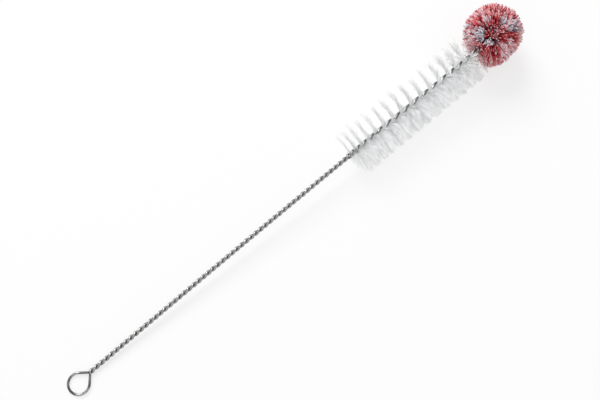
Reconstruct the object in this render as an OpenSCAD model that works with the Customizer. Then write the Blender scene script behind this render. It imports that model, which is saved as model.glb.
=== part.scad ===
// Bottle brush: one doubled wire, twisted to the left round rows of nylon filament and a
// ball of cut yarn, with the bend of the wire left open as a hanging eye.
// It lies on a surface: it rests on its eye and on the tips of the first bristle rows.

/* [Wire] */
// Diameter of the wire
wire_d = 1.6; // [1.2:0.1:2]
// Clearance between the two strands of the bare shank
strand_gap = 0.14; // [0.12:0.01:0.2]
// Space that the pinched filaments hold open between the strands
pinch_gap = 0.7; // [0.6:0.05:1]
// Clearance on each side of what is pinched
pinch_clearance = 0.22; // [0.16:0.02:0.26]

/* [Eye] */
// Radius of the eye, to the middle of the wire
eye_r = 6.9; // [6:0.1:10]
// Distance from the near side of the eye to where the legs cross
eye_neck = 2.9; // [1.5:0.1:5]
// Angle by which the eye leans off the line of the shank
eye_lean = 6; // [0:1:10]

/* [Shank] */
// Length of the bare twist, from the crossing to the first bristle row
shank_l = 221.5; // [140:0.5:300]
// Full turns of the wire along the bare twist
shank_turns = 27.5; // [20:0.5:34]

/* [Bristles] */
// Diameter over the bristle tips
brush_d = 34; // [24:1:50]
// Distance from the first bristle row to the last
brush_l = 101; // [80:0.5:140]
// Rows of bristles on each side of the wire, one to each half turn
row_count = 15; // [12:1:18]
// Spacing of the first rows, as a share of the widest spacing
first_spacing = 0.5; // [0.4:0.05:1]
// Spacing of the last rows, as a share of the widest spacing
last_spacing = 0.76; // [0.5:0.02:1]
// Bundles of filaments in one row
row_bundles = 7; // [6:1:10]
// How far the pinched filaments run past the wire before the bundles part
root_reach = 0.5; // [0.3:0.1:1]
// How far the tips of neighbouring bundles lean apart along the wire
tip_lean = 1.4; // [0.6:0.1:2]
// Thickness of a row at its tips, where the filaments have spread
tip_t = 1.6; // [0.8:0.1:2]
// How far the lowest tips of the first row bend on the surface
tip_bend = 2.8; // [1.6:0.1:3.2]

/* [Yarn] */
// Diameter of the trimmed yarn ball
ball_d = 41; // [36:1:50]
// Distance from the last bristle row to the back of the yarn ball
yarn_gap = 7.5; // [5.5:0.1:12]
// Half turns of the wire that pinch the yarn
yarn_half_turns = 4; // [3:1:5]
// How much the back of the ball is squared off, where 2 is a true sphere
back_fullness = 3; // [2:0.1:4]
// Depth of the tufts in the cut surface
tuft_h = 1.6; // [0.4:0.1:1.8]
// How far the seams between the bundles wander from side to side
seam_wave = 1; // [0:0.1:1.5]
// How far the pinched yarn runs past the wire before it opens
neck_reach = 0.4; // [0.3:0.1:1]
// Radius of the hole in the back of the ball that the wire enters
wire_hole_r = 2.6; // [2.4:0.1:4]
// Radius of the dimple in the front of the ball
dimple_r = 1.5; // [1:0.1:3]
// Clearance between neighbouring yarn bundles at the surface
bundle_gap = 0.5; // [0.3:0.05:0.8]

/* [Bend of the wire] */
// Sideways bow of the wire at the last bristle row
bow = 2.7; // [0:0.1:4]
// Distance from the far end of the eye to the start of the bow
bow_from = 73; // [40:1:120]
// How far the wire bends back inside the yarn
kink = 3.6; // [0:0.1:5]
// Length of the bend back
kink_l = 34; // [24:1:50]

/* [Hidden] */
bundles_per_half_turn = 3;
bundle_count = bundles_per_half_turn * yarn_half_turns;

function two_digits(i) = str(i < 10 ? "0" : "", i);
function row_name(i) = str("bristle_row_", two_digits(i));
function bundle_name(k) = str("yarn_bundle_", two_digits(k));

wire_colour = [0.72, 0.73, 0.74];
bristle_colour = [0.93, 0.94, 0.95];
yarn_colours = [[0.66, 0.16, 0.2], [0.55, 0.6, 0.68], [0.86, 0.66, 0.67]];

wire_r = wire_d / 2;
brush_r = brush_d / 2;
ball_r = ball_d / 2;

// Facets: sides of the wire's section, and rings along each stretch of it
wire_sides = 6;
rings_per_half_turn = 3.5;
eye_rings = 20;
leg_rings = 5;

// Places along the axis of the brush, from the far end of the eye
eye_x = wire_r + eye_r;
crossing_x = eye_x + eye_r + eye_neck;
first_row_x = crossing_x + shank_l;
last_row_x = first_row_x + brush_l;
ball_x = last_row_x + yarn_gap + ball_r;

// Spacing of the half turns: even in the shank, widest past the middle of the bristles
last_row = row_count - 1;
shank_half_turns = 2 * shank_turns;
shank_spacing = shank_l / shank_half_turns;
widest_row = 0.6 * last_row;
narrowing_rows = last_row - widest_row;
mean_share = 1 - (widest_row * (1 - first_spacing) + narrowing_rows * (1 - last_spacing))
    / last_row / 3;
widest_spacing = brush_l / last_row / mean_share;
first_loss = widest_spacing * (1 - first_spacing);
last_loss = widest_spacing * (1 - last_spacing);
end_spacing = widest_spacing - last_loss;

// Half separation of the strands: side by side in the shank, spread by what they pinch
shank_c = (wire_d + strand_gap) / 2;
head_c = (wire_d + pinch_gap) / 2;
pinch_t = pinch_gap - 2 * pinch_clearance;
spread_from = -1.6;
spread_to = -0.6;

// The yarn is pinched evenly about the middle of the ball
yarn_l = yarn_half_turns * end_spacing;
yarn_from = last_row + (ball_x - yarn_l / 2 - last_row_x) / end_spacing;
wire_overrun = 0.15;

// Depths of the tufts, as shares of the deepest: at the seams, and of high and low tufts
seam_share = 0.6;
high_share = 0.3;
low_share = 0.5;
wire_end = yarn_from + yarn_half_turns + wire_overrun;

// Tilt at which the eye and the first rows both meet the surface
tilt = atan2(brush_r, first_row_x)
    - asin((tip_bend + wire_r) / norm([first_row_x, brush_r]));
origin_x = (ball_x + ball_r - seam_share * tuft_h) * cos(tilt) / 2;

module lay_down() {
    translate([-origin_x, 0, wire_r]) rotate([0, -tilt, 0]) children();
}

// Everything follows the bend of the wire
function bend(x) = kink * ease((x - last_row_x) / kink_l)
    - bow * pow(max(0, x - bow_from) / (last_row_x - bow_from), 2);
function bent(points) = [for (p = points) p + [0, bend(p[0]), 0]];

// ---- The twist. m counts half turns from the first bristle row. ----

function head_run(m) = m < widest_row
    ? widest_spacing * m - first_loss
        * (pow(widest_row, 3) - pow(widest_row - m, 3)) / (3 * pow(widest_row, 2))
    : widest_spacing * m - first_loss * widest_row / 3
        - last_loss * pow(m - widest_row, 3) / (3 * pow(narrowing_rows, 2));

function axial(m) =
    m < 0 ? first_row_x + m * shank_spacing
    : m < last_row ? first_row_x + head_run(m)
    : last_row_x + (m - last_row) * end_spacing;

function spacing(m) =
    m < 0 ? shank_spacing
    : m < widest_row
        ? widest_spacing - first_loss * pow((widest_row - m) / widest_row, 2)
    : m < last_row
        ? widest_spacing - last_loss * pow((m - widest_row) / narrowing_rows, 2)
    : end_spacing;

// Angle of the twist, with the strands one above the other at the crossing
function turn(m) = 90 + 180 * (m + shank_half_turns);

// Directions across the axis: along the filaments, and from strand to strand
function along(angle) = [0, sin(angle), cos(angle)];
function across(angle) = [0, cos(angle), -sin(angle)];

function ease(t) = let (c = min(1, max(0, t))) c * c * (3 - 2 * c);
function strand_c(m) = shank_c
    + (head_c - shank_c) * ease((m - spread_from) / (spread_to - spread_from));

// ---- Wire ----
// A stop on the wire's path is [place, direction, inward, roll]: inward points towards what
// the wire bends round, and roll turns the section by whole sides, to follow the twist.

function unit(v) = v / norm(v);

function strand_stop(side, m, roll) = let (
    c = side * strand_c(m),
    n = across(turn(m))
) [
    [axial(m), 0, 0] + c * n,
    side * -unit([spacing(m), 0, 0] - c * PI * along(turn(m))),
    -side * n,
    roll
];

function eye_stop(angle) = let (
    centre = [crossing_x, 0, 0] - (eye_r + eye_neck) * [cos(eye_lean), sin(eye_lean), 0],
    a = angle + eye_lean
) [
    centre + eye_r * [cos(a), sin(a), 0],
    [-sin(a), cos(a), 0],
    [-cos(a), -sin(a), 0],
    twist_steps
];

// Leg between the eye and the crossing, as a cubic curve; t runs from the eye
tangent_angle = acos(eye_r / (eye_r + eye_neck));
leg_l = eye_r * tan(tangent_angle);

function leg_stop(side, t) = let (
    start = eye_stop(side * tangent_angle),
    end = strand_stop(side, -shank_half_turns, twist_steps),
    out = side * -leg_l * start[1],
    into = side * -leg_l * end[1],
    place = (1 + 2 * t) * pow(1 - t, 2) * start[0] + t * pow(1 - t, 2) * out
        + t * t * (3 - 2 * t) * end[0] + t * t * (t - 1) * into,
    heading = 6 * t * (1 - t) * (end[0] - start[0])
        + (1 - t) * (1 - 3 * t) * out + t * (3 * t - 2) * into
) [place, side * -unit(heading), unit((1 - t) * start[2] + t * end[2]), twist_steps];

twist_l = wire_end + shank_half_turns;
twist_steps = ceil(twist_l * rings_per_half_turn);
function twist_m(step) = wire_end - twist_l * step / twist_steps;
arc_l = 360 - 2 * tangent_angle;

wire_path = concat(
    [for (i = [0 : twist_steps]) strand_stop(1, twist_m(i), i)],
    [for (i = [leg_rings - 1 : -1 : 1]) leg_stop(1, i / leg_rings)],
    [for (i = [0 : eye_rings]) eye_stop(tangent_angle + arc_l * i / eye_rings)],
    [for (i = [1 : leg_rings - 1]) leg_stop(-1, i / leg_rings)],
    [for (i = [twist_steps : -1 : 0]) strand_stop(-1, twist_m(i), 2 * twist_steps - i)]
);

// Section of the wire at a stop, with a flat side inward
function wire_section(stop) = let (
    w = unit(stop[2] - (stop[2] * stop[1]) * stop[1]),
    b = cross(stop[1], w)
) [
    for (k = [0 : wire_sides - 1]) let (a = (k + 0.5 + stop[3]) * 360 / wire_sides)
        stop[0] + wire_r * (cos(a) * w + sin(a) * b)
];

// Triangles of the wall between two rings of points, numbered from a and b
function wall(a, b, count) = [
    for (i = [0 : count - 1], half = [0, 1]) let (j = (i + 1) % count)
        half == 0 ? [a + i, a + j, b + j] : [a + i, b + j, b + i]
];

module wire() {
    stops = len(wire_path);
    color(wire_colour) lay_down() polyhedron(
        points = bent([for (stop = wire_path) each wire_section(stop)]),
        faces = concat(
            [[for (k = [0 : wire_sides - 1]) k]],
            [for (i = [0 : stops - 2]) each wall(wire_sides * (i + 1), wire_sides * i, wire_sides)],
            [[for (k = [wire_sides - 1 : -1 : 0]) wire_sides * (stops - 1) + k]]
        )
    );
}

// ---- Bristles ----
// Each row is the half turn of filaments about its own place on the wire: a ribbon of
// pinched middles, opening into bundles that spread to their tips.

root_r = wire_r + root_reach;
row_clearance = 0.02;
tip_share = 0.86;

// A point on the helicoid of filaments: r out from the axis and h off its middle face
function sheet_point(m, r, h) = [axial(m), 0, 0] + r * along(turn(m))
    + h * unit(spacing(m) * across(turn(m)) - [r * PI, 0, 0]);

// Tips that would pass through the surface bend up onto it
function on_surface(p) = let (z = wire_r + p[0] * sin(tilt) + p[2] * cos(tilt))
    z < 0 ? p - [0, 0, z / cos(tilt)] : p;

// Half turn at the edge e of a row's bundles, with the end edges drawn in
function bundle_edge(i, e) = i - 0.5 + e / row_bundles
    + (e == 0 ? row_clearance : e == row_bundles ? -row_clearance : 0);

function tip_point(i, bundle, side, face, end) = let (
    middle = (bundle_edge(i, bundle) + bundle_edge(i, bundle + 1)) / 2,
    m = middle + end * tip_share / row_bundles / 2,
    lean = (bundle % 2 == 0 ? 1 : -1) * tip_lean / 2,
    spread = side * -face * tip_t / 2
) on_surface([axial(m) + lean + spread, 0, 0] + side * brush_r * along(turn(m)));

// Six points on each edge: over, then under, at one root, the axis and the other root
edge_points = 6;
tip_points = 8;
first_tip = edge_points * (row_bundles + 1);

function row_points(i) = concat(
    [
        for (e = [0 : row_bundles], face = [1, -1], r = [-root_r, 0, root_r])
            sheet_point(bundle_edge(i, e), r, face * pinch_t / 2)
    ],
    [
        for (bundle = [0 : row_bundles - 1], side = [-1, 1], face = [1, -1], end = [-1, 1])
            tip_point(i, bundle, side, face, end)
    ]
);

function quad(a, b, c, d) = [[a, b, c], [a, c, d]];

// Faces of one bundle: its stretch of ribbon, over and under, and a wedge on each side
function bundle_faces(bundle) = let (
    a = edge_points * bundle,
    b = a + edge_points,
    t = first_tip + tip_points * bundle
) concat(
    quad(a, b, b + 1, a + 1), quad(a + 1, b + 1, b + 2, a + 2),
    quad(a + 3, a + 4, b + 4, b + 3), quad(a + 4, a + 5, b + 5, b + 4),
    quad(t, t + 1, b, a), quad(a + 3, b + 3, t + 3, t + 2),
    quad(t, a, a + 3, t + 2), quad(t + 1, t + 3, b + 3, b), quad(t, t + 2, t + 3, t + 1),
    quad(a + 2, b + 2, t + 5, t + 4), quad(t + 6, t + 7, b + 5, a + 5),
    quad(t + 4, t + 6, a + 5, a + 2), quad(t + 5, b + 2, b + 5, t + 7),
    quad(t + 4, t + 5, t + 7, t + 6)
);

function row_faces() = let (z = edge_points * row_bundles) concat(
    [for (bundle = [0 : row_bundles - 1]) each bundle_faces(bundle)],
    quad(0, 1, 4, 3), quad(1, 2, 5, 4),
    quad(z, z + 3, z + 4, z + 1), quad(z + 1, z + 4, z + 5, z + 2)
);

module bristle_row(i) {
    color(bristle_colour) lay_down()
        polyhedron(points = bent(row_points(i - 1)), faces = row_faces());
}

// ---- Yarn ----
// The bundles climb the twist, three to each half turn. Each is pinched by its middle, and
// its two ends open on opposite sides of the wire into neighbouring fields of the ball.
// A field runs between two shares f of the way from the back of the ball to its front.

sector = 180 / bundles_per_half_turn;
field_steps = 4;
rim = 4 * field_steps;
grid = (field_steps + 1) * (field_steps + 1);
pinch_r = head_c + wire_r + neck_reach;
pinch_half_width = 0.08;
stalk_reach = 0.55;
stalk_share = 0.45;
seams_round = 4;
seams_along = 2;

function bundle_m(k) = yarn_from + (k + 0.5) / bundles_per_half_turn;
function field_from(k) = k < bundles_per_half_turn ? 0 : (k - 1) / bundle_count;
function field_to(k) = k >= bundle_count - bundles_per_half_turn ? 1
    : (k + bundles_per_half_turn - 1) / bundle_count;

// Shape of the ball: radius for each place t from -1 at its back to 1 at its front
function ball_radius(t) = t < 0
    ? max(wire_hole_r, ball_r * pow(1 - pow(-t, back_fullness), 1 / back_fullness))
    : max(dimple_r, ball_r * sqrt(1 - t * t));

function ball_point(f, angle) = [ball_x + (2 * f - 1) * ball_r, 0, 0]
    + ball_radius(2 * f - 1) * along(angle);
function core_point(f, angle) = [ball_x + (f - 0.5) * yarn_l, 0, 0] + pinch_r * along(angle);

// Seams wander smoothly over the ball, and not at its two ends
function wander_f(f, angle) =
    f + seam_wave / ball_d * 4 * f * (1 - f) * sin(seams_round * angle + 360 * f);
function wander_angle(f, angle) =
    angle + seam_wave / ball_r * 180 / PI * sin(360 * seams_along * f + angle);

// A point of a bundle's field, u and v from 0 to 1 across it, depth mm below the surface
function field_point(k, side, u, v, depth) = let (
    f_gap = bundle_gap / ball_d / 2,
    angle_gap = bundle_gap / PI / ball_d * 180,
    from = field_from(k) + f_gap,
    straight_f = from + v * (field_to(k) - f_gap - from),
    straight_angle = turn(bundle_m(k)) + (side < 0 ? 180 : 0)
        + (u - 0.5) * (sector - 2 * angle_gap),
    f = wander_f(straight_f, straight_angle),
    angle = wander_angle(straight_f, straight_angle),
    outer = ball_point(f, angle),
    inner = core_point(f, angle)
) outer + (inner - outer) * depth / norm(outer - inner);

function stalk_point(k, side, u, v) = let (
    shrink = function (w) 0.5 + (w - 0.5) * stalk_share,
    outer = field_point(k, side, shrink(u), shrink(v), 0),
    angle = turn(bundle_m(k)) + (side < 0 ? 180 : 0),
    root = [axial(bundle_m(k)), 0, 0] + pinch_r * along(angle)
) root + (outer - root) * stalk_reach;

// Steps round the edge of a field, from its first corner
function rim_step(i) = let (side = floor(i / field_steps), w = i % field_steps)
    side == 0 ? [w, 0]
    : side == 1 ? [field_steps, w]
    : side == 2 ? [field_steps - w, field_steps]
    : [0, field_steps - w];

function pinch_ring(k, side, r) = let (m = bundle_m(k), w = pinch_half_width, h = side * pinch_t / 2)
    [
        sheet_point(m - w, side * r, h), sheet_point(m + w, side * r, h),
        sheet_point(m + w, side * r, -h), sheet_point(m - w, side * r, -h)
    ];

function on_rim(u, v) = u == 0 || v == 0 || u == field_steps || v == field_steps;

// Depth of a tuft, as a share of the deepest: tufts stand high and low by turns
function tuft_share(u, v, chance) =
    on_rim(u, v) ? 1 - (1 - seam_share) * chance
    : (u + v) % 2 == 0 ? high_share * chance
    : low_share + high_share * chance;

function end_points(k, side) = let (
    chances = rands(0, 1, grid, 10 * k + side + 2)
) concat(
    pinch_ring(k, side, pinch_r),
    [for (i = [0 : rim - 1]) let (s = rim_step(i) / field_steps) stalk_point(k, side, s[0], s[1])],
    [
        for (u = [0 : field_steps], v = [0 : field_steps]) let (
            depth = tuft_h * tuft_share(u, v, chances[u * (field_steps + 1) + v])
        ) field_point(k, side, u / field_steps, v / field_steps, depth)
    ]
);

function grid_index(base, u, v) = base + u * (field_steps + 1) + v;

// Faces of one end: pinch to exit, exit to stalk, stalk to rim, and the cut surface
function end_faces(middle, base) = let (
    stalk = base + 4,
    cut = stalk + rim,
    edge = [for (i = [0 : rim - 1]) let (s = rim_step(i)) grid_index(cut, s[0], s[1])]
) concat(
    [
        for (q = [0 : 3]) let (p = (q + 1) % 4)
            each quad(middle[q], middle[p], base + p, base + q)
    ],
    [
        for (q = [0 : 3]) let (p = (q + 1) % 4, half = field_steps / 2)
            each concat(
                [[base + q, base + p, stalk + field_steps * q + half]],
                [
                    for (j = [0 : field_steps - 1]) let (s = field_steps * q + j)
                        [base + (j < half ? q : p), stalk + (s + 1) % rim, stalk + s]
                ]
            )
    ],
    [
        for (i = [0 : rim - 1]) let (j = (i + 1) % rim)
            each quad(stalk + i, stalk + j, edge[j], edge[i])
    ],
    [
        for (u = [0 : field_steps - 1], v = [0 : field_steps - 1])
            each quad(
                grid_index(cut, u, v), grid_index(cut, u + 1, v),
                grid_index(cut, u + 1, v + 1), grid_index(cut, u, v + 1)
            )
    ]
);

module yarn_bundle(number) {
    k = number - 1;
    first_end = 4;
    second_end = first_end + 4 + rim + grid;
    color(yarn_colours[(k + floor(k / bundles_per_half_turn)) % len(yarn_colours)])
        lay_down() polyhedron(
            points = bent(concat(pinch_ring(k, 1, 0), end_points(k, 1), end_points(k, -1))),
            faces = concat(
                end_faces([0, 1, 2, 3], first_end), end_faces([3, 2, 1, 0], second_end)
            )
        );
}

wire();
for (i = [1 : row_count])
    bristle_row(i);
for (k = [1 : bundle_count])
    yarn_bundle(k);
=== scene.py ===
import math

import bpy
import numpy as np
from mathutils import Matrix, Vector


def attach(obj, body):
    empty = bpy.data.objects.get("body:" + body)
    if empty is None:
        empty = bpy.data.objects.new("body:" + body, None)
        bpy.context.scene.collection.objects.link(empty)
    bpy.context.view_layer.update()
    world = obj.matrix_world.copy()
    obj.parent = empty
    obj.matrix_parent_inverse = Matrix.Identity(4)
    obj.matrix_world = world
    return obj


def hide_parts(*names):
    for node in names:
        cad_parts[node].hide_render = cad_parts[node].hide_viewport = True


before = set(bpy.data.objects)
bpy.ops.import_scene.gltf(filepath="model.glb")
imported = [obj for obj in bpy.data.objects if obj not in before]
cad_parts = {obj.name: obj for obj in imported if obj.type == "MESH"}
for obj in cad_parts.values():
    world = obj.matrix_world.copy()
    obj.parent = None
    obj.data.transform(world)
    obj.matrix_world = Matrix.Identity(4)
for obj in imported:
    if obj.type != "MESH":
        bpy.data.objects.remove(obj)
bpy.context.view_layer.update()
print("frame loaded,", len(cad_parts), "CAD nodes")

millimetre = 0.001  # sizes below are in millimetres, the scene is in metres
chance = np.random.default_rng(41)

# the run of the brush along its own axis, from the far end of the eye
brush = {
    "wireR": 0.8,
    "eyeR": 6.9,
    "eyeNeck": 2.9,
    "eyeLean": 6.0,
    "shankL": 221.5,
    "shankTurns": 27.5,
    "brushR": 17.0,
    "brushL": 101.0,
    "rows": 15,
    "widestShare": 0.6,
    "firstSpacing": 0.5,
    "lastSpacing": 0.76,
    "tipBend": 2.8,
    "yarnGap": 7.5,
    "ballR": 20.5,
    "yarnHalfTurns": 4,
    "bundlesPerHalfTurn": 3,
    "backFullness": 3.0,
    "tuftDepth": 1.6,
    "seamShare": 0.6,
    "bow": 2.7,
    "bowFrom": 73.0,
    "kink": 3.6,
    "kinkL": 34.0,
}

crossingX = brush["wireR"] + 2 * brush["eyeR"] + brush["eyeNeck"]
firstRowX = crossingX + brush["shankL"]
lastRowX = firstRowX + brush["brushL"]
ballX = lastRowX + brush["yarnGap"] + brush["ballR"]

# the half turns are even in the shank and widest past the middle of the bristles
lastRow = brush["rows"] - 1
shankHalfTurns = 2 * brush["shankTurns"]
shankSpacing = brush["shankL"] / shankHalfTurns
widestRow = brush["widestShare"] * lastRow
narrowingRows = lastRow - widestRow
firstShare = 1 - brush["firstSpacing"]
lastShare = 1 - brush["lastSpacing"]
meanShare = 1 - (widestRow * firstShare + narrowingRows * lastShare) / lastRow / 3
widestSpacing = brush["brushL"] / lastRow / meanShare
firstLoss = widestSpacing * firstShare
lastLoss = widestSpacing * lastShare
endSpacing = widestSpacing - lastLoss
yarnL = brush["yarnHalfTurns"] * endSpacing
yarnFrom = lastRow + (ballX - yarnL / 2 - lastRowX) / endSpacing

# the brush lies on its eye and on the lowest tips of its first rows
tilt = math.atan2(brush["brushR"], firstRowX)
tilt -= math.asin((brush["tipBend"] + brush["wireR"]) / math.hypot(firstRowX, brush["brushR"]))
middleX = (ballX + brush["ballR"] - brush["seamShare"] * brush["tuftDepth"]) * math.cos(tilt) / 2


def ease(t):
    t = np.clip(t, 0, 1)
    return t * t * (3 - 2 * t)


def between(ends, share):
    # at a share of the way from the first end to the second
    return ends[0] + share * (ends[1] - ends[0])


def unit(v):
    return v / np.linalg.norm(v, axis=-1, keepdims=True)


def bendAt(x):
    # the wire bows a little to one side along the bristles, and back inside the ball
    bow = np.clip(x - brush["bowFrom"], 0, None) / (lastRowX - brush["bowFrom"])
    return brush["kink"] * ease((x - lastRowX) / brush["kinkL"]) - brush["bow"] * bow**2


def heightAt(points):
    # above the floor, in millimetres
    return points[..., 0] * math.sin(tilt) + points[..., 2] * math.cos(tilt) + brush["wireR"]


def layDown(points):
    # from the axis of the brush, in millimetres, to where it lies, in metres
    x = points[..., 0] * math.cos(tilt) - points[..., 2] * math.sin(tilt) - middleX
    y = points[..., 1] + bendAt(points[..., 0])
    return np.stack([x, y, heightAt(points)], -1) * millimetre


def layOnFloor(points, radius):
    # tips that would pass through the floor bend up onto it
    under = np.clip(radius - heightAt(points), 0, None)
    points = points.copy()
    points[..., 2] += under / math.cos(tilt)
    return points


def placeAlong(m):
    # m counts half turns of the twist from the first bristle row
    m = np.asarray(m, float)
    early = widestSpacing * m
    early -= firstLoss * (widestRow**3 - (widestRow - m) ** 3) / (3 * widestRow**2)
    late = widestSpacing * m - firstLoss * widestRow / 3
    late -= lastLoss * (m - widestRow) ** 3 / (3 * narrowingRows**2)
    head = firstRowX + np.where(m < widestRow, early, late)
    bare = firstRowX + m * shankSpacing
    end = lastRowX + (m - lastRow) * endSpacing
    return np.where(m < 0, bare, np.where(m < lastRow, head, end))


def spacingAt(m):
    m = np.asarray(m, float)
    early = widestSpacing - firstLoss * ((widestRow - m) / widestRow) ** 2
    late = widestSpacing - lastLoss * ((m - widestRow) / narrowingRows) ** 2
    head = np.where(m < widestRow, early, late)
    return np.where(m < 0, shankSpacing, np.where(m < lastRow, head, endSpacing))


def turnAt(m):
    return math.pi / 2 + math.pi * (np.asarray(m, float) + shankHalfTurns)


def outward(angle):
    # the way that filaments leave the twist
    return np.stack([np.zeros_like(angle), np.sin(angle), np.cos(angle)], -1)


def sideways(angle):
    # from one strand of the wire to the other
    return np.stack([np.zeros_like(angle), np.cos(angle), -np.sin(angle)], -1)


def buildMesh(name, points, loopCorners, faceSizes, loopUvs):
    mesh = bpy.data.meshes.new(name)
    mesh.vertices.add(len(points))
    mesh.vertices.foreach_set("co", points.astype(np.float32).ravel())
    mesh.loops.add(len(loopCorners))
    mesh.loops.foreach_set("vertex_index", loopCorners.astype(np.int32))
    mesh.polygons.add(len(faceSizes))
    starts = np.concatenate([[0], np.cumsum(faceSizes)[:-1]])
    mesh.polygons.foreach_set("loop_start", starts.astype(np.int32))
    uvLayer = mesh.uv_layers.new(name="run")
    uvLayer.data.foreach_set("uv", loopUvs.astype(np.float32).ravel())
    mesh.update(calc_edges=True)
    mesh.validate()
    mesh.shade_smooth()
    piece = bpy.data.objects.new(name, mesh)
    bpy.context.scene.collection.objects.link(piece)
    return piece


def addFact(piece, name, values):
    # a value at each point, which the finishes read
    fact = piece.data.attributes.new(name, "FLOAT", "POINT")
    fact.data.foreach_set("value", np.asarray(values, np.float32).ravel())


def modelStrand(sides, steps):
    # one straight strand along Z, from 0 to 1, with a cut face at each end
    bpy.ops.object.select_all(action="DESELECT")
    bpy.ops.mesh.primitive_cylinder_add(vertices=sides, radius=1, depth=1, location=(0, 0, 0.5))
    bpy.ops.object.transform_apply(location=True)
    strand = bpy.context.object
    bpy.ops.object.mode_set(mode="EDIT")
    for step in range(1, steps):
        bpy.ops.mesh.select_all(action="SELECT")
        bpy.ops.mesh.bisect(plane_co=(0, 0, step / steps), plane_no=(0, 0, 1))
    bpy.ops.object.mode_set(mode="OBJECT")
    mesh = strand.data
    spots = np.array([v.co for v in mesh.vertices])
    ring = np.rint(spots[:, 2] * steps).astype(int)
    form = {
        "across": spots[:, :2],
        "ring": ring,
        "along": ring / steps,
        "corners": np.array([loop.vertex_index for loop in mesh.loops]),
        "sizes": np.array([len(face.vertices) for face in mesh.polygons]),
        "uvs": np.array([corner.uv for corner in mesh.uv_layers[0].data]),
    }
    bpy.data.objects.remove(strand)
    bpy.data.meshes.remove(mesh)
    return form


def copyStrands(name, form, lines, radii, marks, hasTwoTips=False):
    # a copy of the strand bent along each line; radii has one value for each ring of it
    count = len(lines)
    ring = form["ring"]
    headings = unit(np.gradient(lines, axis=1))
    turned = unit(np.cross(headings, chance.normal(size=(count, 1, 3))))
    third = np.cross(headings, turned)
    radius = radii[:, ring, None]
    points = lines[:, ring]
    points = points + radius * form["across"][None, :, :1] * turned[:, ring]
    points = points + radius * form["across"][None, :, 1:] * third[:, ring]
    corners = form["corners"][None] + len(ring) * np.arange(count)[:, None]
    piece = buildMesh(
        name,
        layDown(points).reshape(-1, 3),
        corners.ravel(),
        np.tile(form["sizes"], count),
        np.tile(form["uvs"], (count, 1)),
    )
    along = form["along"]
    reach = np.abs(2 * along - 1) if hasTwoTips else along  # 0 at the pinch, 1 at a cut tip
    # each strand's own tone; for yarn it also holds painted shade that deepens as the tip sits
    # deeper
    addFact(piece, "shadeAndTone", np.repeat(marks, len(ring)))
    addFact(piece, "reach", np.tile(reach, count))
    return piece


def swayed(lines, amount, waves):
    # each line sways in its own way, most of all at its tip
    shape = (len(lines), 1, 3)
    s = np.linspace(0, 1, lines.shape[1])[None, :, None]
    phase = chance.random(shape) * 2 * math.pi
    sway = amount * chance.normal(size=shape)
    return lines + sway * s * np.sin(phase + waves * s)


def newMaterial(name):
    material = bpy.data.materials.new(name)
    material.use_nodes = True
    tree = material.node_tree
    return material, tree, tree.nodes["Principled BSDF"].inputs


def feed(tree, socket, source):
    # a socket takes another node's output, or a plain value
    if isinstance(source, bpy.types.NodeSocket):
        tree.links.new(source, socket)
    else:
        socket.default_value = source


def addNode(tree, kind, inputs=(), **settings):
    node = tree.nodes.new(kind)
    for name, value in settings.items():
        setattr(node, name, value)
    for name, source in dict(inputs).items():
        feed(tree, node.inputs[name], source)
    return node.outputs


def addMath(tree, operation, *sources):
    return addNode(tree, "ShaderNodeMath", enumerate(sources), operation=operation)["Value"]


def addMix(tree, share, first, second):
    inputs = {"Factor": share, "A": first, "B": second}
    return addNode(tree, "ShaderNodeMix", inputs, data_type="RGBA")["Result"]


def addRange(tree, source, start, stop, to=(0.0, 1.0), kind="SMOOTHSTEP"):
    inputs = {"Value": source, "From Min": start, "From Max": stop}
    inputs["To Min"], inputs["To Max"] = to
    return addNode(tree, "ShaderNodeMapRange", inputs, interpolation_type=kind)["Result"]


def addNoise(tree, place, scale, detail, roughness):
    inputs = {"Vector": place, "Scale": scale, "Detail": detail, "Roughness": roughness}
    return addNode(tree, "ShaderNodeTexNoise", inputs)["Fac"]


def addBump(tree, height, strength, distance):
    inputs = {"Height": height, "Strength": strength, "Distance": distance}
    return addNode(tree, "ShaderNodeBump", inputs)["Normal"]


def readFact(tree, name):
    return addNode(tree, "ShaderNodeAttribute", attribute_name=name)["Fac"]


def readRun(tree):
    return addNode(tree, "ShaderNodeUVMap", uv_map="run")["UV"]


def readPlace(tree):
    return addNode(tree, "ShaderNodeTexCoord")["Object"]


def addRamp(tree, source, stops):
    ramp = tree.nodes.new("ShaderNodeValToRGB")
    for element, (place, colour) in zip(ramp.color_ramp.elements, stops):
        element.position = place
        element.color = (*colour, 1)
    feed(tree, ramp.inputs["Fac"], source)
    return ramp.outputs["Color"]


# a noise is given by its scale, detail and roughness
galvanised = {
    "bright": (0.44, 0.44, 0.435),
    "dull": (0.2, 0.2, 0.198),
    "dullUpTo": 0.36,
    "brightFrom": 0.6,
    "tarnished": (0.1, 0.1, 0.099),
    # near black, for the painted shade with grime in the grooves
    "grooveShadeAndGrime": (0.012, 0.012, 0.012),
    "edge": (0.0, 0.0, 0.0),
    "streakStretch": (0.6, 14.0, 1.0),
    "streakNoise": (1.0, 4.0, 0.6),
    "zincNoise": (900.0, 3.0, 0.55),
    "zincShare": 0.45,
    "stainNoise": (110.0, 1.5, 0.5),
    "cleanFrom": 0.6,
    "stainedUpTo": 0.42,
    "roughUpTo": 0.35,
    "smoothFrom": 0.65,
    "roughness": (0.16, 0.06),
    "relief": 0.25,
    "reliefDepth": 0.00003,
}


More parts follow.
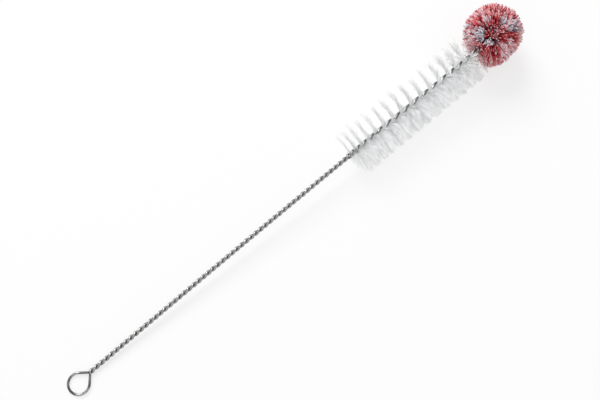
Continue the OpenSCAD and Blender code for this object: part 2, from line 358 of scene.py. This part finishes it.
def galvanisedWire():
    # drawn along its length, with dull patches of zinc, and painted shade with grime in the grooves
    # between the strands
    material, tree, surface = newMaterial("galvanisedWire")
    inputs = {"Vector": readRun(tree), "Scale": galvanised["streakStretch"]}
    drawn = addNode(tree, "ShaderNodeMapping", inputs)["Vector"]
    streaks = addNoise(tree, drawn, *galvanised["streakNoise"])
    place = readPlace(tree)
    zinc = addNoise(tree, place, *galvanised["zincNoise"])
    zinc = addMath(tree, "MULTIPLY", zinc, galvanised["zincShare"])
    grain = addMath(tree, "MULTIPLY_ADD", streaks, 1 - galvanised["zincShare"], zinc)
    dull = (galvanised["dullUpTo"], galvanised["dull"])
    bright = (galvanised["brightFrom"], galvanised["bright"])
    tone = addRamp(tree, grain, [dull, bright])
    # the eye is tarnished here and there
    stain = addNoise(tree, place, *galvanised["stainNoise"])
    stain = addRange(tree, stain, galvanised["cleanFrom"], galvanised["stainedUpTo"])
    stain = addMath(tree, "MULTIPLY", stain, readFact(tree, "handled"))
    tone = addMix(tree, stain, tone, (*galvanised["tarnished"], 1))
    # painted shade with grime in the grooves between the strands
    tone = addMix(tree, readFact(tree, "grooveShadeAndGrime"), tone, (*galvanised["grooveShadeAndGrime"], 1))
    feed(tree, surface["Base Color"], tone)
    ends = (galvanised["roughUpTo"], galvanised["smoothFrom"])
    rough = addRange(tree, grain, *ends, to=galvanised["roughness"], kind="LINEAR")
    feed(tree, surface["Roughness"], rough)
    normal = addBump(tree, grain, galvanised["relief"], galvanised["reliefDepth"])
    feed(tree, surface["Normal"], normal)
    surface["Metallic"].default_value = 1.0
    surface["Specular Tint"].default_value = (*galvanised["edge"], 1)
    return material


strandShade = {
    "mottle": (2.0, 0.6),  # detail and roughness of the noise
    "flecks": (0.36, 0.64),
    "fleckShare": 0.5,
    "lowered": 0.25,
    "plies": 2,
    "plyShade": (0.2, -1.0),
}


def buildStrandTone():
    # colour and height of one filament or thread: its own tone from the root to the cut tip, with
    # painted shade towards the root and between the plies, and a tip that is frayed paler and given
    # a painted highlight
    group = bpy.data.node_groups.new("strandTone", "ShaderNodeTree")
    face = group.interface
    for name in ("Deep", "Pale", "Root", "Tip"):
        face.new_socket(name, in_out="INPUT", socket_type="NodeSocketColor")
    for name in ("Root Shade End", "Fray And Highlight Start", "Twist", "Grain", "Ply Shade"):
        face.new_socket(name, in_out="INPUT", socket_type="NodeSocketFloat")
    face.new_socket("Color", in_out="OUTPUT", socket_type="NodeSocketColor")
    face.new_socket("Height", in_out="OUTPUT", socket_type="NodeSocketFloat")
    given = group.nodes.new("NodeGroupInput").outputs
    result = group.nodes.new("NodeGroupOutput").inputs
    shadeAndTone = readFact(group, "shadeAndTone")
    reach = readFact(group, "reach")
    flecks = addNoise(group, readPlace(group), given["Grain"], *strandShade["mottle"])
    flecks = addRange(group, flecks, *strandShade["flecks"], kind="LINEAR")
    lowered = addMath(group, "SUBTRACT", shadeAndTone, strandShade["lowered"])
    shade = addMath(group, "MULTIPLY_ADD", flecks, strandShade["fleckShare"], lowered)
    tone = addMix(group, shade, given["Deep"], given["Pale"])
    # painted shade: the strand darkens towards its root, deep among the others
    rootShade = addRange(group, reach, 0.0, given["Root Shade End"])
    tone = addMix(group, rootShade, given["Root"], tone)
    # the cut tip is paler, partly frayed and partly a painted highlight, most on the brighter
    # strands
    frayAndHighlight = addRange(group, reach, given["Fray And Highlight Start"], 1.0)
    frayAndHighlight = addMath(group, "MULTIPLY", frayAndHighlight, shadeAndTone)
    tone = addMix(group, frayAndHighlight, tone, given["Tip"])
    # painted shade: a thread is darker between its plies
    run = addNode(group, "ShaderNodeSeparateXYZ", {"Vector": readRun(group)})
    around = addMath(group, "MULTIPLY", run["X"], strandShade["plies"] * 2 * math.pi)
    lay = addMath(group, "MULTIPLY_ADD", run["Y"], given["Twist"], around)
    ply = addMath(group, "SINE", lay)
    plyShade = addRange(group, ply, *strandShade["plyShade"])
    plyShade = addMath(group, "MULTIPLY", plyShade, given["Ply Shade"])
    feed(group, result["Color"], addMix(group, plyShade, tone, given["Root"]))
    feed(group, result["Height"], ply)
    return group


strandTone = buildStrandTone()


def strandFinish(name, values):
    material, tree, surface = newMaterial(name)
    inputs = {
        "Root Shade End": values["rootShadeEnd"],
        "Fray And Highlight Start": values["frayAndHighlightStart"],
        "Twist": values["twist"],
        "Grain": values["grain"],
        "Ply Shade": values["ply"],
    }
    for socket in ("Deep", "Pale", "Root", "Tip"):
        inputs[socket] = (*values[socket.lower()], 1)
    strand = addNode(tree, "ShaderNodeGroup", inputs, node_tree=strandTone)
    feed(tree, surface["Base Color"], strand["Color"])
    # painted light: the strands glow a little in their own colour, standing in for light scattered
    # through them
    feed(tree, surface["Emission Color"], strand["Color"])
    normal = addBump(tree, strand["Height"], values["relief"], values["reliefDepth"])
    feed(tree, surface["Normal"], normal)
    surface["Roughness"].default_value = values["roughness"]
    surface["Specular IOR Level"].default_value = values["specular"]
    surface["Emission Strength"].default_value = values["glow"]
    if "alpha" in values:
        # clear filaments let light on to those behind them
        shadow = addNode(tree, "ShaderNodeLightPath")["Is Shadow Ray"]
        clearer = values["shadowAlpha"] - values["alpha"]
        alpha = addMath(tree, "MULTIPLY_ADD", shadow, clearer, values["alpha"])
        feed(tree, surface["Alpha"], alpha)
    return material


nylon = {
    "deep": (0.6, 0.606, 0.612),
    "pale": (0.99, 0.992, 0.995),
    # painted shade near the wire
    "root": (0.7, 0.705, 0.71),
    # the cut tip: a little paler, partly a painted highlight
    "tip": (0.99, 0.992, 0.994),
    "rootShadeEnd": 0.5,
    "frayAndHighlightStart": 0.66,
    "twist": 0.0,
    "grain": 300.0,
    "ply": 0.0,
    "relief": 0.1,
    "reliefDepth": 0.0001,
    "roughness": 0.35,
    "specular": 0.15,
    # painted glow of the filaments
    "glow": 0.093,
    "alpha": 0.8,
    "shadowAlpha": 0.17,
}
yarn = {
    "rootShadeEnd": 0.92,
    "frayAndHighlightStart": 0.7,
    "twist": 150.0,
    "grain": 500.0,
    # how dark the painted shade between the plies is
    "ply": 0.32,
    "relief": 0.6,
    "reliefDepth": 0.0001,
    "roughness": 0.72,
    "specular": 0.3,
    # painted glow of the yarn
    "glow": 0.07,
}
# each root colour is painted shade where a strand starts among the others; each tip colour is a
# paler frayed end with a painted highlight
dyes = {
    "red": {
        "deep": (0.38, 0.0, 0.012),
        "pale": (1.0, 0.055, 0.1),
        "root": (0.03, 0.0, 0.002),
        "tip": (1.0, 0.62, 0.62),
    },
    "greyBlue": {
        "deep": (0.33, 0.36, 0.46),
        "pale": (0.94, 0.95, 1.0),
        "root": (0.02, 0.02, 0.035),
        "tip": (0.99, 0.98, 1.0),
    },
    "palePink": {
        "deep": (0.78, 0.38, 0.44),
        "pale": (1.0, 0.74, 0.8),
        "root": (0.06, 0.005, 0.01),
        "tip": (1.0, 0.9, 0.92),
    },
    "crimson": {
        "deep": (0.26, 0.0, 0.008),
        "pale": (0.8, 0.012, 0.03),
        "root": (0.02, 0.0, 0.001),
        "tip": (0.98, 0.28, 0.3),
    },
    "fringe": {
        "deep": (0.7, 0.4, 0.42),
        "pale": (0.95, 0.75, 0.76),
        "root": (0.6, 0.3, 0.32),
        "tip": (1.0, 0.88, 0.88),
    },
    "fluff": {
        "deep": (0.3, 0.29, 0.31),
        "pale": (0.65, 0.62, 0.64),
        "root": (0.3, 0.29, 0.31),
        "tip": (0.8, 0.78, 0.8),
    },
}

wireFinish = galvanisedWire()
nylonFinish = strandFinish("nylonFilament", nylon)
yarnFinish = {dye: strandFinish(dye + "Yarn", {**yarn, **tones}) for dye, tones in dyes.items()}
print("finishes made")

# of each pair, one value is for the shank and one for the head
wire = {
    "sides": 14,
    "ringsPerHalfTurn": 9,
    "eyeRings": 64,
    "legRings": 14,
    "shankGap": 0.03,
    "pinchGap": 0.7,
    "spreadFrom": -1.6,
    "spreadTo": -0.6,
    "overrun": 0.15,
    # the painted shade with grime in the grooves: where it starts, how far it runs, how dark it
    # gets
    "shadedGrooveTop": (0.8, 1.35),
    "shadedGrooveL": (0.5, 0.6),
    "grooveShadeTone": (0.15, 0.3),
}

shankHalf = brush["wireR"] + wire["shankGap"] / 2
headHalf = brush["wireR"] + wire["pinchGap"] / 2
eyeTangent = math.acos(brush["eyeR"] / (brush["eyeR"] + brush["eyeNeck"]))


def headShare(m):
    return ease((m - wire["spreadFrom"]) / (wire["spreadTo"] - wire["spreadFrom"]))


def strandHalf(m):
    return between((shankHalf, headHalf), headShare(m))


def strandRun(side, m):
    # places, headings and inward directions of one strand of the twist
    angle = turnAt(m)
    half = side * strandHalf(m)
    across = sideways(angle)
    places = half[:, None] * across
    places[:, 0] = placeAlong(m)
    headings = -half[:, None] * math.pi * outward(angle)
    headings[:, 0] = spacingAt(m)
    return places, -side * unit(headings), -side * across


def eyeRun(angle):
    lean = math.radians(brush["eyeLean"])
    neck = brush["eyeR"] + brush["eyeNeck"]
    middle = np.array([crossingX - neck * math.cos(lean), -neck * math.sin(lean), 0])
    angle = angle + lean
    out = np.stack([np.cos(angle), np.sin(angle), np.zeros_like(angle)], -1)
    headings = np.stack([-np.sin(angle), np.cos(angle), np.zeros_like(angle)], -1)
    return middle + brush["eyeR"] * out, headings, -out


def legRun(side, t):
    # a smooth leg between the eye and the crossing
    start, startHeading, startIn = eyeRun(np.array([side * eyeTangent]))
    end, endHeading, endIn = strandRun(side, np.array([-shankHalfTurns]))
    legL = brush["eyeR"] * math.tan(eyeTangent)
    leave = -side * legL * startHeading
    meet = side * legL * endHeading
    t = t[:, None]
    places = (1 + 2 * t) * (1 - t) ** 2 * start + t * (1 - t) ** 2 * leave
    places = places + t * t * (3 - 2 * t) * end + t * t * (t - 1) * meet
    headings = 6 * t * (1 - t) * (end - start)
    headings = headings + (1 - t) * (1 - 3 * t) * leave + t * (3 * t - 2) * meet
    return places, -side * unit(headings), unit((1 - t) * startIn + t * endIn)


def sweepTube(places, headings, inward, sides, radius):
    # a tube with closed ends; its UV map runs along it and round it
    inward = unit(inward - np.sum(inward * headings, -1, keepdims=True) * headings)
    third = np.cross(headings, inward)
    angle = (2 * math.pi * np.arange(sides) / sides)[None, :, None]
    points = places[:, None] + radius * (
        np.cos(angle) * inward[:, None] + np.sin(angle) * third[:, None]
    )
    length = np.concatenate([[0], np.cumsum(np.linalg.norm(np.diff(places, axis=0), axis=1))])
    ring, side = np.meshgrid(np.arange(len(places) - 1), np.arange(sides), indexing="ij")
    ring = ring.ravel()
    side = side.ravel()
    corners = []
    uvs = []
    for on, around in ((0, 0), (0, 1), (1, 1), (1, 0)):
        corners.append((ring + on) * sides + (side + around) % sides)
        uvs.append(np.stack([length[ring + on], (side + around) / sides], -1))
    firstCap = np.arange(sides)[::-1]
    lastCap = (len(places) - 1) * sides + np.arange(sides)
    corners = np.concatenate([np.stack(corners, -1).ravel(), firstCap, lastCap])
    sizes = np.concatenate([np.full(len(ring), 4), [sides, sides]])
    uvs = np.concatenate([np.stack(uvs, 1).reshape(-1, 2), np.zeros((2 * sides, 2))])
    return points.reshape(-1, 3), corners, sizes, uvs


def paintGrooveShadeAndGrime(points, halfTurn):
    # painted shade with grime: dark towards the axis, and darker where bristles close the hollows
    # in
    inHead = headShare(halfTurn)
    top = between(wire["shadedGrooveTop"], inHead)
    depth = between(wire["shadedGrooveL"], inHead)
    tone = between(wire["grooveShadeTone"], inHead)
    # measured as if the strands touched in the head too, where they hold the bristles
    fromAxis = np.hypot(points[:, 1], points[:, 2]) - (strandHalf(halfTurn) - shankHalf)
    return tone * ease((top - fromAxis) / depth) * (points[:, 0] > crossingX)


def modelWire():
    wireEnd = yarnFrom + brush["yarnHalfTurns"] + wire["overrun"]
    stops = int((wireEnd + shankHalfTurns) * wire["ringsPerHalfTurn"])
    twist = np.linspace(wireEnd, -shankHalfTurns, stops)
    leg = np.arange(1, wire["legRings"]) / wire["legRings"]
    eye = np.linspace(eyeTangent, 2 * math.pi - eyeTangent, wire["eyeRings"])
    runs = [
        strandRun(1, twist),
        legRun(1, leg[::-1]),
        eyeRun(eye),
        legRun(-1, leg),
        strandRun(-1, twist[::-1]),
    ]
    places, headings, inward = (np.concatenate(part) for part in zip(*runs))
    tube = sweepTube(places, headings, inward, wire["sides"], brush["wireR"])
    points = tube[0]
    piece = buildMesh("twistedWire", layDown(points), *tube[1:])
    beyond = np.full(len(places) - 2 * stops, -shankHalfTurns)
    halfTurn = np.concatenate([twist, beyond, twist[::-1]])
    # painted shade with grime in the grooves, kept at each point
    addFact(piece, "grooveShadeAndGrime", paintGrooveShadeAndGrime(points, np.repeat(halfTurn, wire["sides"])))
    addFact(piece, "handled", points[:, 0] < crossingX)
    piece.data.materials.append(wireFinish)
    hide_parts("wire")
    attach(piece, "root")


modelWire()
print("wire twisted, with its eye")

# a list is for the first rows; of a pair, one value is for the clump and one for the filament
bristle = {
    "sides": 4,
    "steps": 8,
    "filamentR": 0.12,
    "perMm": 16,
    "fewer": [0.5, 0.8],
    "slimmer": [0.62, 0.84],
    "trim": [0.45, 0.15],
    "trimL": 1.4,
    "clump": 9,
    "fewestClumps": 3,
    "clumpStray": 0.6,
    "splay": (1.6, 4.0),
    "lean": (0.01, 0.056),
    "bend": (0.14, 0.2),
    "flatness": 1.5,
    "uneven": 0.3,
    "longest": 0.4,
    "marks": (0.2, 0.5, 0.5),  # the lowest, and what a clump and a filament add
}

filament = modelStrand(bristle["sides"], bristle["steps"])


def inFirstRows(kind, index, later):
    return bristle[kind][index] if index < len(bristle[kind]) else later


def bristleRow(index):
    count = int(bristle["perMm"] * spacingAt(index) * inFirstRows("fewer", index, 1))
    share = (np.arange(count) + chance.random(count)) / count
    m = index - 0.5 + share
    # neighbours cling together in small clumps
    clumps = max(bristle["fewestClumps"], count // bristle["clump"])
    clump = share * clumps + bristle["clumpStray"] * chance.normal(size=count)
    clump = np.clip(clump, 0, clumps - 1).astype(int)

    def strayed(kind, *shape):
        # bounded, so that a row keeps an even width up to its blunt end
        together, alone = bristle[kind]
        together = together * chance.normal(size=(clumps, *shape))[clump]
        return together + alone * np.tanh(bristle["flatness"] * chance.normal(size=(count, *shape)))

    angle = turnAt(m) + np.radians(strayed("splay"))
    reach = brush["brushR"] + bristle["uneven"] * chance.normal(size=(count, 1))
    reach = np.minimum(reach, brush["brushR"] + bristle["longest"])
    t = np.linspace(-1, 1, bristle["steps"] + 1)[None]
    # the first rows start short on one side
    short = inFirstRows("trim", index, 0) * (1 - ease(share * bristle["trimL"]))[:, None]
    out = t * (reach * np.where(t > 0, 1 - short, 1))
    lean = strayed("lean", 2)
    lean = np.where(t < 0, lean[:, :1], lean[:, 1:])
    bow = strayed("bend", 2, 1)
    slack = wire["pinchGap"] / 2 - 2 * bristle["filamentR"]
    held = slack * (2 * chance.random((count, 1)) - 1)
    lines = out[..., None] * outward(angle)[:, None]
    lines = lines + (held + bow[:, 0] * t**2)[..., None] * sideways(angle)[:, None]
    lines[..., 0] = placeAlong(m)[:, None] + lean * np.abs(out) + bow[:, 1] * t**2
    lines = layOnFloor(lines, bristle["filamentR"])
    slim = inFirstRows("slimmer", index, 1)
    radii = np.full(lines.shape[:2], slim * bristle["filamentR"])
    lowest, byClump, byFilament = bristle["marks"]
    marks = lowest + byClump * chance.random(clumps)[clump] + byFilament * chance.random(count)
    name = f"bristleRow{index + 1:02d}"
    piece = copyStrands(name, filament, lines, radii, marks, hasTwoTips=True)
    piece.data.materials.append(nylonFinish)
    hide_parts(f"bristle_row_{index + 1:02d}")
    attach(piece, "root")
    return count


filaments = [bristleRow(index) for index in range(brush["rows"])]
print(len(filaments), "bristle rows with", sum(filaments), "filaments")

yarnKinds = ["red", "greyBlue", "palePink", "crimson"]
ball = {
    "sides": 5,
    "steps": 7,
    "threadR": 0.4,
    "thinRoot": 0.5,
    "thinTip": 0.85,
    "perEnd": 160,
    "spill": 0.1,
    "fieldLimits": (0.02, 0.985),
    "turnStray": 0.12,
    "depth": 1.5,
    "shadeDepth": 3.0,
    "shadeStray": 0.45,
    "neck": 3.2,
    "gather": 0.62,
    "wobble": 0.35,
    "waves": 5,
    "tufts": 170,
    "tuftStray": 0.06,
    "tuftPull": 0.65,
    "sink": 1.4,
    "ownShare": 0.3,
    "otherShares": (0.78, 0.0, 0.22, 0.0),
    "patchShare": 0.72,
    "spread": {"red": 1.45, "greyBlue": 1.0, "palePink": 1.0, "crimson": 1.3},
}

# patches of colour on the ball: the way to each from its middle, its size in degrees, its yarn
patches = [
    (-0.18, 0.37, 0.91, 13, "greyBlue"),
    (-0.41, 0.54, 0.74, 16, "crimson"),
    (-0.68, 0.40, 0.61, 17, "greyBlue"),
    (-0.28, -0.06, 0.96, 12, "crimson"),
    (0.15, 0.06, 0.99, 12, "crimson"),
    (0.33, -0.07, 0.94, 9, "greyBlue"),
    (0.28, -0.31, 0.91, 8, "palePink"),
    (0.65, -0.30, 0.70, 15, "greyBlue"),
    (0.19, -0.50, 0.85, 13, "greyBlue"),
    (0.21, -0.69, 0.69, 16, "crimson"),
    (0.09, -0.84, 0.53, 10, "greyBlue"),
    (-0.83, -0.20, 0.51, 15, "crimson"),
    (-0.65, -0.49, 0.58, 13, "crimson"),
    (-0.42, -0.60, 0.68, 8, "crimson"),
    (-0.23, -0.72, 0.66, 10, "palePink"),
    (-0.62, -0.69, 0.37, 12, "greyBlue"),
    (-0.66, -0.75, 0.05, 27, "red"),
    (-0.56, -0.29, 0.78, 10, "greyBlue"),
    (0.36, 0.48, 0.80, 26, "red"),
    (-0.03, 0.66, 0.75, 16, "palePink"),
    (-0.89, 0.28, 0.35, 17, "palePink"),
    (-0.25, -0.93, 0.26, 23, "palePink"),
    (-0.85, -0.50, 0.17, 14, "palePink"),
]

thread = modelStrand(ball["sides"], ball["steps"])
bundleCount = brush["bundlesPerHalfTurn"] * brush["yarnHalfTurns"]


def ballRadius(t):
    back = (1 - np.clip(-t, 0, 1) ** brush["backFullness"]) ** (1 / brush["backFullness"])
    front = np.sqrt(1 - np.clip(t, 0, 1) ** 2)
    return brush["ballR"] * np.where(t < 0, back, front)


def fieldEnds(k):
    # shares of the way from the back of the ball to its front
    early = k < brush["bundlesPerHalfTurn"]
    late = k >= bundleCount - brush["bundlesPerHalfTurn"]
    start = 0 if early else (k - 1) / bundleCount
    stop = 1 if late else (k + brush["bundlesPerHalfTurn"] - 1) / bundleCount
    return start, stop


def patchAt(away):
    # the yarn of the patch that lies each way from the middle, or -1 between the patches
    ways = unit(np.array([patch[:3] for patch in patches]))
    sizes = np.radians([patch[3] * ball["spread"][patch[4]] for patch in patches])
    share = np.arccos(np.clip(away @ ways.T, -1, 1)) / sizes
    kinds = np.array([yarnKinds.index(patch[4]) for patch in patches])
    return np.where(share.min(axis=1) < 1, kinds[share.argmin(axis=1)], -1)


def scatterTufts():
    # small tufts all over the ball, each of one yarn for the most part
    count = ball["tufts"]
    order = np.arange(count)
    x = 1 - (2 * order + 1) / count
    goldenAngle = math.pi * (3 - math.sqrt(5))
    ways = np.sqrt(1 - x * x)[:, None] * outward(order * goldenAngle)
    ways[:, 0] = x
    ways = unit(ways + ball["tuftStray"] * chance.normal(size=ways.shape))
    return {
        "ways": ways,
        "kinds": patchAt(ways),
        "sink": ball["sink"] * chance.random(count),
    }


tufts = scatterTufts()


def bundleEnd(k, side):
    # one end of a bundle: its threads, from the pinch to the cut surface, their painted shade by
    # depth, and their patches
    count = ball["perEnd"]
    perHalfTurn = brush["bundlesPerHalfTurn"]
    u = chance.random(count) - 0.5
    v = chance.random(count) * (1 + 2 * ball["spill"]) - ball["spill"]
    t = 2 * np.clip(between(fieldEnds(k), v), *ball["fieldLimits"]) - 1
    m = yarnFrom + (k + 0.5) / perHalfTurn + u / perHalfTurn
    angle = turnAt(m) + side * math.pi
    strayed = angle + ball["turnStray"] * chance.normal(size=count)
    depth = ball["depth"] * np.abs(chance.normal(size=count))
    middle = np.array([ballX, 0, 0])
    tips = ballRadius(t)[:, None] * outward(strayed)
    tips[:, 0] += ballX + t * brush["ballR"]
    out = tips - middle
    tuft = np.argmax(unit(out) @ tufts["ways"].T, axis=1)
    depth = depth + tufts["sink"][tuft]
    root = np.zeros_like(tips)
    root[:, 0] = placeAlong(m)
    elbow = root + ball["neck"] * outward(angle)
    gathered = unit(between((unit(out), tufts["ways"][tuft]), ball["tuftPull"]))
    shoulder = middle + ball["gather"] * np.linalg.norm(out, axis=-1, keepdims=True) * gathered
    tips = tips - depth[:, None] * unit(tips - shoulder)
    s = np.linspace(0, 1, ball["steps"] + 1)[None, :, None]
    lines = (1 - s) ** 3 * root[:, None] + 3 * s * (1 - s) ** 2 * elbow[:, None]
    lines = lines + 3 * s * s * (1 - s) * shoulder[:, None] + s**3 * tips[:, None]
    lines = swayed(lines, ball["wobble"], ball["waves"])
    # threads whose tips sit deeper get painted shade
    return lines, 1 - depth / ball["shadeDepth"], tufts["kinds"][tuft]


def yarnBundle(k):
    ends = [bundleEnd(k, side) for side in (0, 1)]
    lines, marks, patched = (np.concatenate(part) for part in zip(*ends))
    lines = layOnFloor(lines, ball["threadR"])
    radii = np.full(lines.shape[:2], ball["threadR"])
    radii[:, 0] *= ball["thinRoot"]
    radii[:, -1] *= ball["thinTip"]
    marks = np.clip(marks + ball["shadeStray"] * chance.normal(size=len(lines)), 0, 1)
    piece = copyStrands(f"yarnBundle{k + 1:02d}", thread, lines, radii, marks)
    own = (k + k // 3) % 3
    others = chance.choice(len(yarnKinds), len(lines), p=ball["otherShares"])
    kinds = np.where(chance.random(len(lines)) < ball["ownShare"], own, others)
    inPatch = (patched >= 0) & (chance.random(len(lines)) < ball["patchShare"])
    kinds = np.where(inPatch, patched, kinds)
    for kind in yarnKinds:
        piece.data.materials.append(yarnFinish[kind])
    faces = np.repeat(kinds, len(thread["sizes"]))
    piece.data.polygons.foreach_set("material_index", faces.astype(np.int32))
    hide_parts(f"yarn_bundle_{k + 1:02d}")
    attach(piece, "root")
    return len(lines)


threads = [yarnBundle(k) for k in range(bundleCount)]
print(len(threads), "yarn bundles with", sum(threads), "threads")


def addLooseStrands(name, form, lines, values, finish):
    lines = swayed(lines, values["sway"], values["waves"])
    lines = layOnFloor(lines, values["strandR"])
    radii = np.full(lines.shape[:2], values["strandR"])
    piece = copyStrands(name, form, lines, radii, chance.random(len(lines)))
    piece.data.materials.append(finish)
    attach(piece, "root")


fringe = {
    "threads": 50,
    "strandR": 0.17,
    "behind": (17.0, 25.0),
    "reach": (9.0, 17.0),
    "rootBehind": (15.0, 17.0),
    "sway": 0.8,
    "waves": 5,
}


def yarnFringe():
    # looser pink threads that lean back from the ball towards the bristles
    count = fringe["threads"]
    angle = 2 * math.pi * chance.random(count)
    tips = between(fringe["reach"], chance.random(count))[:, None] * outward(angle)
    tips[:, 0] = ballX - between(fringe["behind"], chance.random(count))
    root = np.zeros_like(tips)
    root[:, 0] = ballX - between(fringe["rootBehind"], chance.random(count))
    s = np.linspace(0, 1, ball["steps"] + 1)[None, :, None]
    lines = between((root[:, None], tips[:, None]), s)
    addLooseStrands("yarnFringe", thread, lines, fringe, yarnFinish["fringe"])


fluff = {
    "fibres": 90,
    "strandR": 0.06,
    "along": (-11.0, 9.0),
    "reach": (5.0, 14.0),
    "fromAxis": 0.8,
    "sway": 2.2,
    "waves": 7,
}


def looseFibres():
    # fine curly fibres shed among the last bristles
    count = fluff["fibres"]
    angle = 2 * math.pi * chance.random(count)
    x = lastRowX + between(fluff["along"], chance.random(count))
    length = between(fluff["reach"], chance.random(count))
    s = np.linspace(0, 1, bristle["steps"] + 1)[None, :, None]
    out = outward(angle)
    lines = fluff["fromAxis"] * out[:, None] + s * (length[:, None] * out)[:, None]
    lines[..., 0] += x[:, None]
    addLooseStrands("looseFibres", filament, lines, fluff, yarnFinish["fluff"])


yarnFringe()
looseFibres()
print("fringe and loose fibres added")

studio = {
    "floorSide": 4.0,
    "floorColour": (0.96, 0.96, 0.96),
    "floorRoughness": 0.9,
    "floorSpecular": 0.1,
    "whiteShare": 0.68,
    "skyFill": 0.62,
    "keyFrom": (0.335, 1.04, 1.0),
    "keyDistance": 2.7,
    "keySide": 1.5,
    "keyPower": 46.0,
    # light passes on from filament to filament
    "bounces": {"max_bounces": 40, "diffuse_bounces": 20, "transparent_max_bounces": 48},
}


def seenDirectly(tree):
    # 1 for what the camera sees, also in the metal or through something clear
    path = addNode(tree, "ShaderNodeLightPath")
    seen = path["Is Camera Ray"]
    for ray in ("Is Glossy Ray", "Is Transmission Ray"):
        seen = addMath(tree, "MAXIMUM", seen, path[ray])
    return seen


def layFloor():
    bpy.ops.object.select_all(action="DESELECT")
    bpy.ops.mesh.primitive_plane_add(size=studio["floorSide"], location=(0, 0, 0))
    floor = bpy.context.object
    floor.name = "floor"
    material, tree, surface = newMaterial("paleFloor")
    surface["Base Color"].default_value = (*studio["floorColour"], 1)
    surface["Roughness"].default_value = studio["floorRoughness"]
    surface["Specular IOR Level"].default_value = studio["floorSpecular"]
    # part of it shows as plain white, and the rest takes the shadow
    white = addNode(tree, "ShaderNodeEmission", {"Color": (1, 1, 1, 1), "Strength": 1.0})
    share = addMath(tree, "MULTIPLY", seenDirectly(tree), studio["whiteShare"])
    matt = tree.nodes["Principled BSDF"].outputs["BSDF"]
    inputs = {"Fac": share, 1: matt, 2: white["Emission"]}
    shown = addNode(tree, "ShaderNodeMixShader", inputs)["Shader"]
    feed(tree, tree.nodes["Material Output"].inputs["Surface"], shown)
    floor.data.materials.append(material)


def lightStudio():
    world = bpy.data.worlds.new("studio")
    bpy.context.scene.world = world
    world.use_nodes = True
    tree = world.node_tree
    tree.nodes.clear()
    fill = (studio["skyFill"],) * 3 + (1,)
    shown = addMix(tree, seenDirectly(tree), fill, (1, 1, 1, 1))
    back = addNode(tree, "ShaderNodeBackground", {"Color": shown})["Background"]
    addNode(tree, "ShaderNodeOutputWorld", {"Surface": back})
    lamp = bpy.data.lights.new("softbox", "AREA")
    lamp.shape = "SQUARE"
    lamp.size = studio["keySide"]
    lamp.energy = studio["keyPower"]
    softbox = bpy.data.objects.new("softbox", lamp)
    bpy.context.scene.collection.objects.link(softbox)
    towards = Vector(studio["keyFrom"]).normalized()
    softbox.location = towards * studio["keyDistance"]
    softbox.rotation_euler = towards.to_track_quat("Z", "Y").to_euler()
    for name, count in studio["bounces"].items():
        setattr(bpy.context.scene.cycles, name, count)


view = {
    "elevation": 73.987,
    "turn": -40.557,
    "distance": 0.6985,
    "aim": (0.00077, 0.00017, 0.0),
    "focalPx": 1041.5,
    "framePx": 600,
    "sensor": 36.0,
}


def placeCamera():
    camera = bpy.data.cameras.new("camera")
    camera.sensor_width = view["sensor"]
    camera.lens = view["focalPx"] / view["framePx"] * view["sensor"]
    seat = bpy.data.objects.new("camera", camera)
    bpy.context.scene.collection.objects.link(seat)
    rise = math.radians(view["elevation"])
    turn = math.radians(view["turn"])
    right = Vector((math.cos(turn), math.sin(turn), 0))
    ahead = Vector((-math.sin(turn), math.cos(turn), 0))
    look = ahead * math.cos(rise) - Vector((0, 0, math.sin(rise)))
    up = ahead * math.sin(rise) + Vector((0, 0, math.cos(rise)))
    axes = Matrix((right, up, -look)).transposed().to_4x4()
    seat.matrix_world = Matrix.Translation(Vector(view["aim"]) - look * view["distance"]) @ axes
    bpy.context.scene.camera = seat


layFloor()
lightStudio()
placeCamera()
bpy.context.scene.view_settings.view_transform = "Standard"
print("floor, light and camera set")
